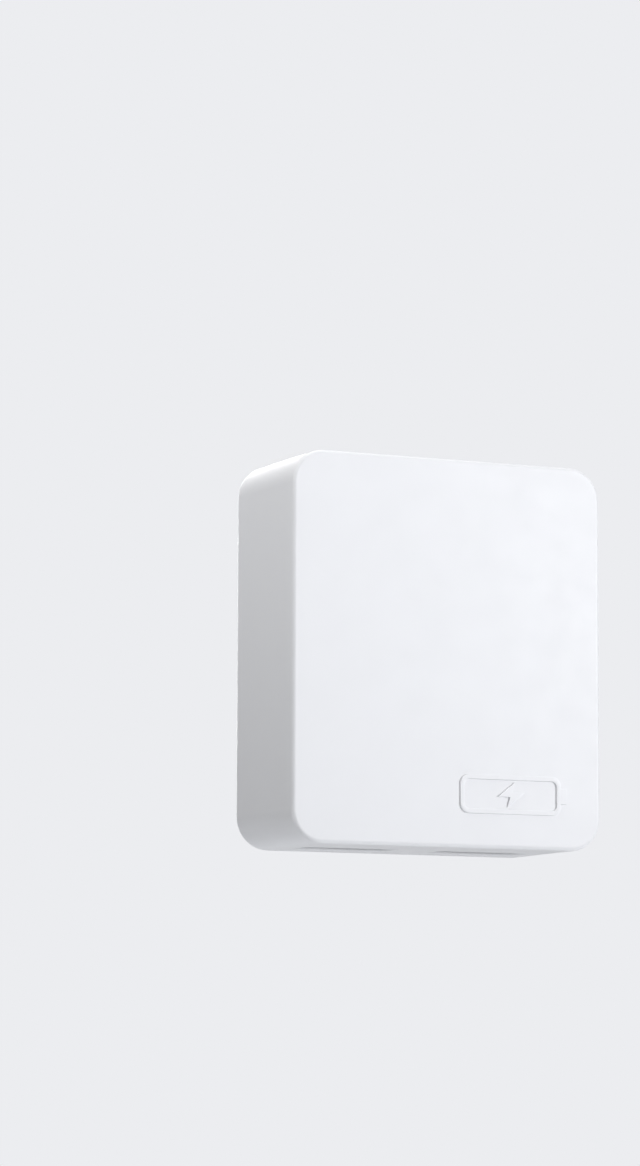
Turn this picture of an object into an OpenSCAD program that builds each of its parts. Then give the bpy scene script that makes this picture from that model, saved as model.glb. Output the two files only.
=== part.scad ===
// Slim two-port USB wall charger with a folding two-blade plug.
// Millimetres. The origin is on the rear face, midway between the blades.
// +Y points into the wall, +Z is up, and the two ports open downwards.

/* [Housing] */
// Width of the housing
body_w = 43; // [42:0.5:46]
// Height of the housing
body_h = 49; // [49:0.5:52]
// Depth of the housing from the rear face to the front face
body_d = 17.5; // [17.5:0.25:19]
// Radius of the four upright corners
corner_r = 4.2; // [3.6:0.2:5]
// Radius of the rounded edge round the front face
front_edge_r = 0.5; // [0.4:0.1:0.8]
// Radius of the rounded edge round the rear face
rear_edge_r = 0.6; // [0.4:0.1:0.8]
// Thickness of the walls of the front case
wall = 1.8; // [1.6:0.1:2]
// Thickness of the rear cover
cover_t = 2; // [1.8:0.1:2]
// Width of the case rim that shows round the rear cover
rim_w = 1; // [0.8:0.1:1.2]
// Height by which the battery mark stands proud of the front face
mark_h = 0.2; // [0.1:0.05:0.3]

/* [Folding plug] */
// Distance from the top of the housing down to the blades
plug_below_top = 15.2; // [15.2:0.1:15.6]
// Length of a blade outside the housing
blade_out = 16; // [15.9:0.1:16.2]
// Width of a blade, which is upright when the plug is out
blade_w = 6.35; // [6.2:0.05:6.4]
// Thickness of a blade
blade_t = 1.5; // [1.4:0.1:1.6]
// Distance between the middles of the blades
blade_pitch = 12.7; // [12.6:0.1:12.8]
// Diameter of the hole near the tip of a blade
blade_hole_d = 3.2; // [3:0.1:3.4]
// Distance from the rear face to the blade hole's middle
blade_hole_out = 11.9; // [11.4:0.1:12.2]
// Depth of the hinge axis behind the rear face
hinge_d = 4.2; // [4.2:0.05:4.3]
// Radius of the hubs that hold the blades
hub_r = 3.9; // [3.8:0.05:3.95]
// Radius of the hinge journals
journal_r = 2; // [1.8:0.1:2]
// Radial running clearance of the journals
journal_gap = 0.05; // [0.03:0.01:0.08]

/* [USB ports] */
// Distance between the middles of the ports
port_pitch = 18.6; // [18.4:0.1:19]
// Width of a port's opening
port_w = 12.5; // [12.4:0.05:12.6]
// Height of a port's opening, front to back
port_t = 5.12; // [5:0.02:5.2]
// Distance from the rear face to the ports' middle
port_d = 6.66; // [6.6:0.02:6.7]
// Sheet thickness of the steel port shells
shell_t = 0.3; // [0.25:0.05:0.35]
// Length of a port shell
shell_l = 10.8; // [10.4:0.1:10.9]

/* [Board] */
// Thickness of the circuit board
board_t = 1.2; // [1:0.1:1.2]

/* [Hidden] */
$fn = 48;

// Heights of the housing's top, bottom and middle
top_z = plug_below_top;
bottom_z = plug_below_top - body_h;
mid_z = plug_below_top - body_h / 2;
side_x = body_w / 2;

// Hinge and wells
blade_x = blade_pitch / 2;
hub_w = 3.2;
slot_w = hub_w + 0.3;
slot_top = 3.6;
shaft_flat = 1.75;
tail_r = 4.6;
tail_w = 2.4;
blade_root = 2;
tip_z = -(hinge_d + blade_out);
well_end = tip_z - 0.6;
well_wall = 0.8;
well_d = hinge_d + blade_w / 2 + 0.5;
well_top = -4.6;
cradle_x0 = 8.2;
cradle_x1 = 10.8;
cradle_h = 6.4;
boss_x = 13.5;
boss_d = 5.4;
ear_t = 1.4;
screw_r = 0.8;
spring_t = 0.3;
leaf_d = hinge_d + journal_r + 0.02;
leaf_t = 0.25;
leaf_z = -2.1;
leaf_l = 9;
leaf_seat_z = -5.6;

// Ports and board
port_x = port_pitch / 2;
shell_z0 = bottom_z + 0.8;
shell_z1 = shell_z0 + shell_l;
board_d = port_d + port_t / 2 + shell_t;
board_front = board_d + board_t;
board_gap = 0.3;
inner_w = body_w - 2 * wall;
inner_h = body_h - 2 * wall;
front_inner = body_d - wall;
notch_x = 9.2;
contact_xs = [-3.5, -1, 1, 3.5];
leg_zs = [shell_z0 + 2.6, shell_z1 - 2.6];
tongue_d = port_d + 0.02;
tongue_t = 1.84;
tongue_w = 11.1;
tongue_z = shell_z0 + 1.6;
base_l = 1.4;

// Transformer
core_x = 14.3;
core_z = -12.9;
core_d = 8.9;
core_len = 12.4;
core_high = 12;
core_t = 4.8;
rail_z = 6.95;
pin_xs = [-3.6, 0, 3.6];

// Posts that clamp the board, [x, z]
post_r = 1.2;
posts = [[-17.6, 2.6], [17.6, 2.6], [-17.8, bottom_z + 3.8], [17.8, bottom_z + 3.8]];

// ---------- shape helpers ----------

// A flat outline in X and Z, from depth d towards the front by t
module slab(d, t) {
    translate([0, -d, 0]) rotate([90, 0, 0]) linear_extrude(t) children();
}

// A box centred on x and z, from depth d towards the front
module block(x, d, z, size) {
    translate([x - size[0] / 2, -d - size[1], z - size[2] / 2]) cube(size);
}

// Round bars along each axis, placed by depth
module bar_x(r, x0, x1, d, z) {
    translate([x0, -d, z]) rotate([0, 90, 0]) cylinder(r = r, h = x1 - x0);
}

module bar_y(r, d0, d1, x, z) {
    translate([x, -d0, z]) rotate([90, 0, 0]) cylinder(r = r, h = d1 - d0);
}

module bar_z(r, z0, z1, x, d) {
    translate([x, -d, z0]) cylinder(r = r, h = z1 - z0);
}

// An outline of [depth, z] points, from x towards +X by t
module side_profile(x, t) {
    translate([x, 0, 0]) rotate([90, 0, 90]) linear_extrude(t) mirror([1, 0]) children();
}

// A rectangle with true round corners
module round_rect(w, h, r) {
    square([w - 2 * r, h], center = true);
    square([w, h - 2 * r], center = true);
    for (x = [-1, 1], z = [-1, 1])
        translate([x * (w / 2 - r), z * (h / 2 - r)]) circle(r);
}

// ---------- housing ----------

// Half section of the housing's edge: x outwards, y by depth
module edge_section() {
    square([corner_r - front_edge_r, body_d]);
    square([corner_r - rear_edge_r, body_d - front_edge_r]);
    translate([0, rear_edge_r]) square([corner_r, body_d - front_edge_r - rear_edge_r]);
    translate([corner_r - rear_edge_r, rear_edge_r]) circle(rear_edge_r);
    translate([corner_r - front_edge_r, body_d - front_edge_r]) circle(front_edge_r);
}

// Full section across the housing, span wide
module full_section(span) {
    for (side = [0, 1])
        mirror([side, 0]) translate([span / 2 - corner_r, 0]) edge_section();
    translate([-span / 2 + corner_r, 0]) square([span - 2 * corner_r, body_d]);
}

// The housing as one solid block, with all its edges rounded
module housing_block() {
    translate([0, 0, mid_z]) rotate([90, 0, 0]) {
        for (x = [-1, 1], z = [-1, 1])
            translate([x * (side_x - corner_r), z * (body_h / 2 - corner_r), 0])
                rotate_extrude() edge_section();
        translate([0, body_h / 2 - corner_r, 0]) rotate([90, 0, 0])
            linear_extrude(body_h - 2 * corner_r) full_section(body_w);
        translate([-side_x + corner_r, 0, 0]) rotate([90, 0, 90])
            linear_extrude(body_w - 2 * corner_r) full_section(body_h);
    }
}

// A battery outline with a lightning bolt
module battery_mark() {
    difference() {
        round_rect(14.2, 4.9, 1.2);
        round_rect(13, 3.7, 0.7);
    }
    translate([7.5, 0]) square([0.9, 2], center = true);
    polygon([[0.5, 1.55], [-1.9, -0.3], [-0.15, -0.3], [-0.5, -1.55], [1.9, 0.3], [0.15, 0.3]]);
}

module front_case() {
    color("#eceef2") {
        difference() {
            housing_block();
            slab(-1, front_inner + 1) translate([0, mid_z])
                round_rect(inner_w, inner_h, corner_r - wall);
            slab(-1, cover_t + 1) translate([0, mid_z])
                round_rect(body_w - 2 * rim_w, body_h - 2 * rim_w, corner_r - rim_w);
            for (side = [-1, 1]) {
                block(side * port_x, port_d - port_t / 2, bottom_z + 0.5, [port_w, port_t, 3]);
                block(side * port_x, port_d - port_t / 2 - shell_t - 0.05, shell_z0 + 1.45,
                    [port_w + 2 * shell_t + 0.1, port_t + 2 * shell_t + 0.1, 3]);
            }
        }
        for (p = posts)
            bar_y(post_r, board_front, front_inner + 0.2, p[0], p[1]);
        slab(body_d - 0.2, mark_h + 0.2) translate([8.6, bottom_z + 6.8]) battery_mark();
    }
}

// Walls and openings of the two wells that the folded blades lie in
module well_walls(side) {
    block(side * blade_x, cover_t - 0.1, (well_top + well_end - well_wall) / 2,
        [slot_w + 2 * well_wall, well_d + well_wall - cover_t + 0.1, well_top - well_end + well_wall]);
}

module well_opening(side) {
    block(side * blade_x, -1, (slot_top + well_end) / 2,
        [slot_w, well_d + 1, slot_top - well_end]);
}

module rear_cover() {
    seam = 0.05;
    scoop_r = 9;
    scoop_cut = 1.1;
    color("#e6e8ec") difference() {
        union() {
            slab(0, cover_t) translate([0, mid_z])
                round_rect(body_w - 2 * (rim_w + seam), body_h - 2 * (rim_w + seam),
                    corner_r - rim_w - seam);
            for (side = [-1, 1]) {
                well_walls(side);
                block(side * (cradle_x0 + cradle_x1) / 2, cover_t - 0.1, 0,
                    [cradle_x1 - cradle_x0, hinge_d - cover_t + 0.1, cradle_h]);
                bar_y(2.1, cover_t - 0.1, boss_d, side * boss_x, 0);
            }
            block(0, cover_t - 0.1, leaf_seat_z, [blade_pitch - slot_w, leaf_d - cover_t + 0.1, 2]);
            for (p = posts)
                bar_y(post_r, cover_t - 0.1, board_d, p[0], p[1]);
        }
        for (side = [-1, 1]) {
            well_opening(side);
            bar_y(screw_r + 0.02, 2.6, boss_d + 1, side * boss_x, 0);
        }
        bar_x(journal_r + journal_gap, -cradle_x1 - 1, cradle_x1 + 1, hinge_d, 0);
        bar_x(scoop_r, -11, 11, scoop_cut - scoop_r, well_end + 3.6);
    }
}

// ---------- folding plug ----------

// Outline of one blade as [depth, z], with a tapered tip and a narrow tail
module blade_outline() {
    half = blade_w / 2;
    tip_cut = 1.6;
    translate([-blade_out + tip_cut, -half]) square([blade_out - tip_cut + hinge_d + blade_root, blade_w]);
    polygon([[-blade_out, -half + tip_cut], [-blade_out, half - tip_cut],
        [-blade_out + tip_cut, half], [-blade_out + tip_cut, -half]]);
    intersection() {
        translate([hinge_d, -tail_w / 2]) square([tail_r + 1, tail_w]);
        translate([hinge_d, 0]) circle(tail_r);
    }
}

module blade(side) {
    color("#c9c6bd") difference() {
        side_profile(side * blade_x - blade_t / 2, blade_t) blade_outline();
        bar_x(blade_hole_d / 2, side * blade_x - 2, side * blade_x + 2, -blade_hole_out, 0);
    }
}

module blade_left() {
    blade(-1);
}

module blade_right() {
    blade(1);
}

module blade_carrier() {
    color("#dfe1e5") difference() {
        union() {
            for (side = [-1, 1]) {
                hub_x = side * blade_x - hub_w / 2;
                bar_x(hub_r, hub_x, hub_x + hub_w, hinge_d, 0);
            }
            bar_x(journal_r, -cradle_x1 + 0.1, cradle_x1 - 0.1, hinge_d, 0);
        }
        for (side = [-1, 1])
            side_profile(side * blade_x - blade_t / 2, blade_t) blade_outline();
        block(0, hinge_d + shaft_flat, 0, [7.6, 1, 6]);
        block(0, hinge_d - 3, shaft_flat + 0.5, [7.6, 6, 1]);
    }
}

module carrier_retainer(side) {
    saddle_x = side * (cradle_x0 + cradle_x1) / 2;
    color("#3b3d42") difference() {
        union() {
            block(saddle_x, hinge_d, 0, [cradle_x1 - cradle_x0, 3.2, cradle_h]);
            block(side * (cradle_x1 + 2.3), boss_d, 0, [4.8, ear_t, 4.8]);
        }
        bar_x(journal_r + journal_gap, saddle_x - 2, saddle_x + 2, hinge_d, 0);
        bar_y(screw_r + 0.1, boss_d - 1, boss_d + ear_t + 1, side * boss_x, 0);
    }
}

module carrier_retainer_left() {
    carrier_retainer(-1);
}

module carrier_retainer_right() {
    carrier_retainer(1);
}

module retainer_screws() {
    head_d = boss_d + ear_t;
    color("#b9bcc0") for (side = [-1, 1]) difference() {
        union() {
            bar_y(screw_r, 3, head_d + 0.1, side * boss_x, 0);
            bar_y(1.5, head_d, head_d + 1, side * boss_x, 0);
        }
        block(side * boss_x, head_d + 0.6, 0, [2, 1, 0.5]);
        block(side * boss_x, head_d + 0.6, 0, [0.5, 1, 2]);
    }
}

module detent_spring() {
    color("#cfd2d4") block(0, leaf_d, leaf_z, [5.6, leaf_t, leaf_l]);
}

// A leaf that touches the blade's tail while the plug is out
module contact_spring(side) {
    pad_d = hinge_d + tail_r + 0.04;
    foot_d = board_d - spring_t;
    color("#c98b4a") side_profile(side * blade_x - 1.2, 2.4)
        polygon([[pad_d, -2.4], [pad_d + spring_t, -2.4], [pad_d + spring_t, 2.7],
            [board_d, 4.6], [board_d, 7.6], [foot_d, 7.6], [foot_d, 4.7], [pad_d, 2.8]]);
}

module contact_spring_left() {
    contact_spring(-1);
}

module contact_spring_right() {
    contact_spring(1);
}

// ---------- circuit board and its parts ----------

module board_outline() {
    difference() {
        translate([0, mid_z])
            round_rect(inner_w - 2 * board_gap, inner_h - 2 * board_gap, corner_r - wall);
        translate([-inner_w / 2 - 1, -20.8]) square([inner_w / 2 + 1 - notch_x, 15.8]);
        translate([notch_x, core_z - core_high / 2 - 0.3]) square([20, core_high + 0.6]);
        translate([-inner_w / 2 - 1, 4.9]) square([inner_w / 2 + 1 - 8.2, 20]);
        translate([1.5, -6.6]) square([6.5, 1.1]);
        for (side = [-1, 1], edge = [-1, 1], z = leg_zs)
            translate([side * port_x + edge * (port_w + shell_t) / 2, z])
                square([0.6, 1.6], center = true);
        for (x = pin_xs, z = [-rail_z, rail_z])
            translate([core_x + x, core_z + z]) circle(0.4);
    }
}

module main_board() {
    color("#1f6b45") slab(board_d, board_t) board_outline();
}

// Axial part lying along X on the rear of the board, with bent leads
module fuse_resistor() {
    r = 1.8;
    lead_r = 0.3;
    z = 10.4;
    axis_d = board_d - r;
    color("#6f8f7a") {
        bar_x(r, -3.6, 3.6, axis_d, z);
        for (side = [-1, 1]) {
            bar_x(lead_r, side < 0 ? -4.8 : 3.5, side < 0 ? -3.5 : 4.8, axis_d, z);
            bar_y(lead_r, axis_d, board_d, side * 4.6, z);
        }
    }
}

// Moulded package with flat leads on two sides, on the front of the board
module chip_package(x, z, size, legs, leg_w, along_x) {
    leg_l = 0.9;
    span = along_x ? size[0] : size[2];
    block(x, board_front + 0.1, z, [size[0], size[1], size[2]]);
    for (i = [0:legs - 1], side = [-1, 1]) {
        step = (i - (legs - 1) / 2) * span / legs;
        reach = side * ((along_x ? size[2] : size[0]) / 2 + leg_l / 2 - 0.1);
        leg = along_x ? [leg_w, 0.3, leg_l] : [leg_l, 0.3, leg_w];
        block(x + (along_x ? step : reach), board_front, z + (along_x ? reach : step), leg);
    }
}

module bridge_rectifier() {
    color("#26272a") chip_package(-2.4, 8.8, [4.8, 1.5, 4], 2, 0.7, true);
}

module controller_ic() {
    color("#26272a") chip_package(4.6, 0.2, [4.9, 1.5, 3.9], 4, 0.45, true);
}

module snubber_diode() {
    color("#26272a") chip_package(13.6, 0.6, [4.2, 2, 2.6], 1, 1.4, false);
}

module optocoupler() {
    color("#e9e6dc") chip_package(4.7, -6.05, [4.4, 2, 3.2], 2, 0.5, true);
}

module output_rectifier() {
    color("#26272a") chip_package(-2.6, -13.4, [6.5, 1.2, 4.6], 2, 1.6, true);
}

module port_ic() {
    color("#26272a") chip_package(0, -24.4, [4.9, 1.5, 3.9], 4, 0.45, true);
}

// Small chip parts on the front of the board, [x, z, turned]
module chips(places, size) {
    for (p = places)
        block(p[0], board_front, p[1], p[2] ? [size[2], size[1], size[0]] : size);
}

module chip_resistors() {
    places = [[-6.4, 1.6, false], [-6.4, -0.4, false], [-6.4, -2.4, false], [0.2, 1.8, true],
        [0.2, -2, true], [8.2, 5, true], [17.4, -2.4, false], [-5.6, -8.2, false],
        [5, -11.6, false], [5, -13.6, false], [-8.6, -24.4, true], [8.6, -24.4, true]];
    color("#1d1e20") chips(places, [1.6, 0.5, 0.85]);
}

module chip_capacitors() {
    places = [[-1.6, 4.4, false], [3.2, 4.6, false], [13.4, -3.4, false], [-2.4, -8.2, false],
        [5, -16.4, false], [-5, -18.4, false], [-12.6, -25, true], [12.6, -25, true]];
    color("#b49a74") chips(places, [2, 1.2, 1.25]);
}

module bulk_capacitor_large() {
    color("#2c3442") {
        bar_z(4.8, -20.2, -5.6, -14.4, 8.9);
        for (x = [-1.75, 1.75]) {
            bar_z(0.3, -5.7, -4.1, -14.4 + x, 8.9);
            bar_y(0.3, 8.9, board_d, -14.4 + x, -4.4);
        }
    }
}

module bulk_capacitor_small() {
    color("#2c3442") {
        bar_x(3.8, -18.4, -8.9, 9, 8.9);
        for (z = [-1.25, 1.25]) {
            bar_x(0.3, -9, -7.6, 9, 8.9 + z);
            bar_y(0.3, 9, board_d, -7.9, 8.9 + z);
        }
    }
}

// Drum choke standing on the rear of the board
module filter_choke() {
    color("#3a3b3d") {
        bar_y(2.6, board_d - 1, board_d, 16, 9.2);
        bar_y(2.1, board_d - 5.4, board_d - 0.9, 16, 9.2);
        bar_y(2.6, board_d - 6.3, board_d - 5.3, 16, 9.2);
    }
}

// Ceramic disc standing on its leads
module y_capacitor() {
    color("#2f7fc1") {
        bar_x(3.1, 10, 12.4, board_d - 3.7, 9.2);
        for (z = [-2.2, 2.2])
            bar_y(0.3, board_d - 2.6, board_d, 11.2, 9.2 + z);
    }
}

// Polymer capacitor standing on the rear of the board between the wells
module output_capacitor(z) {
    base = 6.6;
    color("#c7cacd") {
        block(0, board_d - 1.1, z, [base, 1.1, base]);
        bar_y(3.15, board_d - 5.8, board_d - 1, 0, z);
    }
}

module output_capacitor_upper() {
    output_capacitor(-10.2);
}

module output_capacitor_lower() {
    output_capacitor(-17.2);
}

// ---------- transformer ----------

// Outer outline and the two windows of the core, as [depth, z]
module core_outline() {
    leg = 1.9;
    centre_leg = 3.4;
    back = 1.8;
    window = (core_len - 2 * leg - centre_leg) / 2;
    difference() {
        translate([core_d, core_z]) square([core_len, core_high], center = true);
        for (side = [-1, 1])
            translate([core_d + side * (centre_leg + window) / 2, core_z])
                square([window, core_high - 2 * back], center = true);
    }
}

module transformer_core() {
    color("#3c3d40") side_profile(core_x - core_t / 2, core_t) core_outline();
}

module transformer_winding() {
    color("#e5c24a") difference() {
        block(core_x, core_d - 4.1, core_z, [9.4, 8.2, 7]);
        block(core_x, core_d - 2.1, core_z, [5.6, 4.2, 8]);
    }
}

module transformer_bobbin() {
    sleeve = [5.5, 4.1];
    color("#2b2b2e") difference() {
        union() {
            block(core_x, core_d - sleeve[1] / 2, core_z, [sleeve[0], sleeve[1], 7.9]);
            for (z = [-3.85, 3.85])
                block(core_x, core_d - 4.15, core_z + z, [9.6, 8.3, 0.5]);
            for (z = [-rail_z, rail_z])
                block(core_x, board_d - 1.7, core_z + z, [9.6, 1.7, 1.5]);
            for (x = [-3.85, 3.85], z = [-5.1, 5.1])
                block(core_x + x, board_d - 1.7, core_z + z, [1.9, 1.7, 2.4]);
        }
        block(core_x, core_d - 1.75, core_z, [core_t + 0.1, 3.5, 10]);
    }
}

module transformer_pins() {
    color("#cfd2d4") for (x = pin_xs, z = [-rail_z, rail_z])
        bar_y(0.3, board_d, board_front + 1, core_x + x, core_z + z);
}

// ---------- USB ports ----------

module usb_shell(side) {
    outer = [port_w + 2 * shell_t, port_t + 2 * shell_t];
    x = side * port_x;
    mid = (shell_z0 + shell_z1) / 2;
    color("#c3c6ca") {
        difference() {
            block(x, port_d - outer[1] / 2, mid, [outer[0], outer[1], shell_l]);
            block(x, port_d - port_t / 2, mid, [port_w, port_t, shell_l + 2]);
        }
        for (edge = [-1, 1], z = leg_zs)
            block(x + edge * (port_w + shell_t) / 2, board_d - 1, z, [shell_t, 3, 1.2]);
    }
}

module usb_shell_left() {
    usb_shell(-1);
}

module usb_shell_right() {
    usb_shell(1);
}

module usb_contacts(side) {
    strip_w = 1;
    strip_t = 0.2;
    pin_w = 0.6;
    pin_t = 0.3;
    strip_d = tongue_d - strip_t;
    strip_l = shell_z1 - tongue_z - 0.3;
    color("#d9b45a") for (dx = contact_xs) {
        x = side * port_x + dx;
        block(x, strip_d, shell_z1 - (strip_l - pin_t) / 2, [strip_w, strip_t, strip_l + pin_t]);
        block(x, strip_d, shell_z1 + pin_t / 2, [pin_w, board_d - strip_d, pin_t]);
    }
}

module usb_insulator(side) {
    x = side * port_x;
    color("#1c1d20") difference() {
        union() {
            block(x, tongue_d, (tongue_z + shell_z1) / 2, [tongue_w, tongue_t, shell_z1 - tongue_z]);
            block(x, port_d - port_t / 2, shell_z1 - base_l / 2, [port_w, port_t, base_l]);
        }
        usb_contacts(side);
    }
}

module usb_insulator_left() {
    usb_insulator(-1);
}

module usb_insulator_right() {
    usb_insulator(1);
}

module usb_contacts_left() {
    usb_contacts(-1);
}

module usb_contacts_right() {
    usb_contacts(1);
}

module insulation_sheet() {
    color("#d8b25c") slab(front_inner - 0.3, 0.25) difference() {
        translate([0, mid_z]) round_rect(inner_w - 0.8, inner_h - 0.8, corner_r - wall);
        for (p = posts)
            translate(p) circle(post_r + 0.3);
    }
}

front_case();
rear_cover();
blade_left();
blade_right();
blade_carrier();
carrier_retainer_left();
carrier_retainer_right();
retainer_screws();
detent_spring();
contact_spring_left();
contact_spring_right();
main_board();
fuse_resistor();
bridge_rectifier();
bulk_capacitor_large();
bulk_capacitor_small();
filter_choke();
transformer_core();
transformer_bobbin();
transformer_winding();
transformer_pins();
controller_ic();
snubber_diode();
y_capacitor();
optocoupler();
output_rectifier();
output_capacitor_upper();
output_capacitor_lower();
port_ic();
chip_resistors();
chip_capacitors();
usb_shell_left();
usb_shell_right();
usb_insulator_left();
usb_insulator_right();
usb_contacts_left();
usb_contacts_right();
insulation_sheet();
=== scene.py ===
"""Looks of a slim two-port USB wall charger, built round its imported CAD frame."""

import math

import bmesh
import bpy
from mathutils import Matrix, Vector


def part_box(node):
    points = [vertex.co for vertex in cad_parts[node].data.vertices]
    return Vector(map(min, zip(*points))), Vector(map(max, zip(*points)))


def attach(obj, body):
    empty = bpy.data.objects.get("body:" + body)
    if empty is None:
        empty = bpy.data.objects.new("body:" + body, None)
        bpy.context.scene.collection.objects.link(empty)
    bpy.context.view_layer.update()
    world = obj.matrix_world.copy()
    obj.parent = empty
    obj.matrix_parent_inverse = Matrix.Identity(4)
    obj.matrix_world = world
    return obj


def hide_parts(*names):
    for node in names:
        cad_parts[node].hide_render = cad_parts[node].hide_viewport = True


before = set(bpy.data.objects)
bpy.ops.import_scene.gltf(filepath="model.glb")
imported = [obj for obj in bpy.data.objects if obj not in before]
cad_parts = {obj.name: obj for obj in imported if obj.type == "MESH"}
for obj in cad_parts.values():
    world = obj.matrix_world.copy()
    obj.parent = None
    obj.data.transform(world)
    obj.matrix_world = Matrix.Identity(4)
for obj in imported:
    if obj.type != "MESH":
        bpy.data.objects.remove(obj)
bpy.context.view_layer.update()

MM = 0.001
X = Vector((1, 0, 0))
Y = Vector((0, 1, 0))
Z = Vector((0, 0, 1))


def cad_box(node):
    """Lowest and highest corner of a CAD node, in millimetres."""
    low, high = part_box(node)
    return low / MM, high / MM


def middle(low, high):
    return [(a + b) / 2 for a, b in zip(low, high)]


# Driving sizes in millimetres, read from the frame where it holds them
CASE_LOW, CASE_HIGH = cad_box("front_case")
MARK_HEIGHT = 0.2
HALF_W = CASE_HIGH.x
BOTTOM, TOP = CASE_LOW.z, CASE_HIGH.z
HEIGHT = TOP - BOTTOM
MID_Z = (TOP + BOTTOM) / 2
FRONT = CASE_LOW.y + MARK_HEIGHT
CORNER = 4.2
FRONT_EDGE = 0.5
REAR_EDGE = 0.6
WALL = 1.8
COVER = 2.0
RIM = 1.0
HINGE_Y = -4.2
PORT_Y = -6.66
PORT_W, PORT_T = 12.5, 5.12
SHELL_LOW, SHELL_HIGH = cad_box("usb_shell_left")
PORT_X = -(SHELL_LOW.x + SHELL_HIGH.x) / 2
BLADE_X = middle(*cad_box("blade_right"))[0]
BOARD_FRONT, BOARD_BACK = (corner.y for corner in cad_box("main_board"))
SIDES = {"left": -1, "right": 1}
BOTH = (-1, 1)


# ---------- mesh tools, in millimetres until finish_piece() ----------


def add_object(name, data):
    obj = bpy.data.objects.new(name, data)
    bpy.context.scene.collection.objects.link(obj)
    return obj


def mesh_object(name, verts, faces):
    mesh = bpy.data.meshes.new(name)
    mesh.from_pydata([tuple(v) for v in verts], [], faces)
    mesh.update()
    return add_object(name, mesh)


def edit(obj, work):
    """Runs work on obj's bmesh and writes it back."""
    bm = bmesh.new()
    bm.from_mesh(obj.data)
    work(bm)
    bm.to_mesh(obj.data)
    bm.free()
    obj.data.update()
    return obj


def face_outwards(obj):
    return edit(obj, lambda bm: bmesh.ops.recalc_face_normals(bm, faces=bm.faces))


def loft(name, rings, closed=False):
    """A tube through rings of equal length, capped at both ends unless it closes on itself."""
    count = len(rings[0])
    spans = len(rings) if closed else len(rings) - 1
    faces = []
    for r in range(spans):
        a, b = r * count, (r + 1) % len(rings) * count
        faces += [(a + i, a + (i + 1) % count, b + (i + 1) % count, b + i) for i in range(count)]
    if not closed:
        faces.append(tuple(range(count)))
        faces.append(tuple(range((len(rings) - 1) * count, len(rings) * count)))
    return face_outwards(mesh_object(name, [p for ring in rings for p in ring], faces))


def round_rect(w, h, r, steps=8):
    """Points (a, b) round a rectangle with round corners, centred on the origin."""
    points = []
    for k, (sa, sb) in enumerate(((1, 1), (-1, 1), (-1, -1), (1, -1))):
        for i in range(steps + 1):
            t = math.radians(90 * (k + i / steps))
            points.append((sa * (w / 2 - r) + r * math.cos(t), sb * (h / 2 - r) + r * math.sin(t)))
    return points


def grown(w, h, r, grow, steps):
    """A round rectangle pushed outwards by grow on every side."""
    return round_rect(w + 2 * grow, h + 2 * grow, r + grow, steps)


def on_y(points, y, x=0.0, z=0.0):
    """Outline points placed in the plane of one depth."""
    return [Vector((x + a, y, z + b)) for a, b in points]


def on_z(points, z, x=0.0, y=0.0):
    return [Vector((x + a, y + b, z)) for a, b in points]


def quarter(r, steps=6):
    """(inset, rise) pairs of a quarter-round edge, from the end face to the side wall."""
    turns = [math.radians(90 * i / steps) for i in range(steps + 1)]
    return [(r - r * math.sin(t), r - r * math.cos(t)) for t in turns]


def brick(name, low, high, soft=0.0, steps=2):
    """A box between two corners, its edges rounded by soft."""
    corners = [(x, y, z) for x in (low[0], high[0]) for y in (low[1], high[1]) for z in (low[2], high[2])]
    faces = [(0, 1, 3, 2), (4, 6, 7, 5), (0, 4, 5, 1), (2, 3, 7, 6), (0, 2, 6, 4), (1, 5, 7, 3)]
    obj = face_outwards(mesh_object(name, corners, faces))
    return soften(obj, soft, steps) if soft else obj


def soften(obj, width, steps=2, choose=lambda edge: edge.calc_face_angle(0) > 0.6):
    """Rounds the chosen edges of obj."""
    def work(bm):
        edges = [e for e in bm.edges if choose(e)]
        bmesh.ops.bevel(bm, geom=edges, offset=width, offset_type="OFFSET", segments=steps,
                        profile=0.5, affect="EDGES", clamp_overlap=True)
    return edit(obj, work)


def axes_of(axis):
    """The axis, and two directions square to it."""
    along = {"x": X, "y": Y, "z": Z}[axis]
    side = {"x": Y, "y": Z, "z": X}[axis]
    return along, side, along.cross(side)


def lathe(name, profile, axis, centre, segments=48, closed=False):
    """A solid turned round an axis through centre; profile is [along, radius] pairs."""
    along, side, up = axes_of(axis)
    turns = [2 * math.pi * i / segments for i in range(segments)]
    rings = []
    for a, r in profile:
        hub = Vector(centre) + along * a
        rings.append([hub + (side * math.cos(t) + up * math.sin(t)) * max(r, 0.001) for t in turns])
    return loft(name, rings, closed)


def rod(name, axis, centre, a, b, r, segments=48, soft=0.0):
    """A straight round bar from a to b along the axis."""
    ends = quarter(soft, 4) if soft else [(0, 0)]
    profile = [(a + rise, r - inset) for inset, rise in ends]
    profile += [(b - rise, r - inset) for inset, rise in reversed(ends)]
    return lathe(name, profile, axis, centre, segments)


def prism(name, points, a, b, soft=0.0):
    """An outline carried from a to b along X, with its edges rounded by soft."""
    obj = loft(name, [[Vector((x, p, q)) for p, q in points] for x in (a, b)])
    return soften(obj, soft) if soft else obj


def cut_or_join(obj, others, operation="DIFFERENCE"):
    """Boolean of obj with each of the others, which are used up."""
    for other in others:
        modifier = obj.modifiers.new("boolean", "BOOLEAN")
        modifier.operation = operation
        modifier.solver = "EXACT"
        modifier.object = other
        graph = bpy.context.evaluated_depsgraph_get()
        mesh = bpy.data.meshes.new_from_object(obj.evaluated_get(graph))
        obj.modifiers.clear()
        obj.data = mesh
        bpy.data.objects.remove(other)
    return obj


def merge(name, parts):
    """Several closed shells as one object."""
    bm = bmesh.new()
    for part in parts:
        bm.from_mesh(part.data)
        bpy.data.objects.remove(part)
    mesh = bpy.data.meshes.new(name)
    bm.to_mesh(mesh)
    bm.free()
    return add_object(name, mesh)


def headings(path):
    """Each point of a path, with its direction there."""
    points = [Vector(p) for p in path]
    for before, p, after in zip(points[:1] + points, points, points[1:] + points[-1:]):
        yield p, (after - before).normalized()


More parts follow.
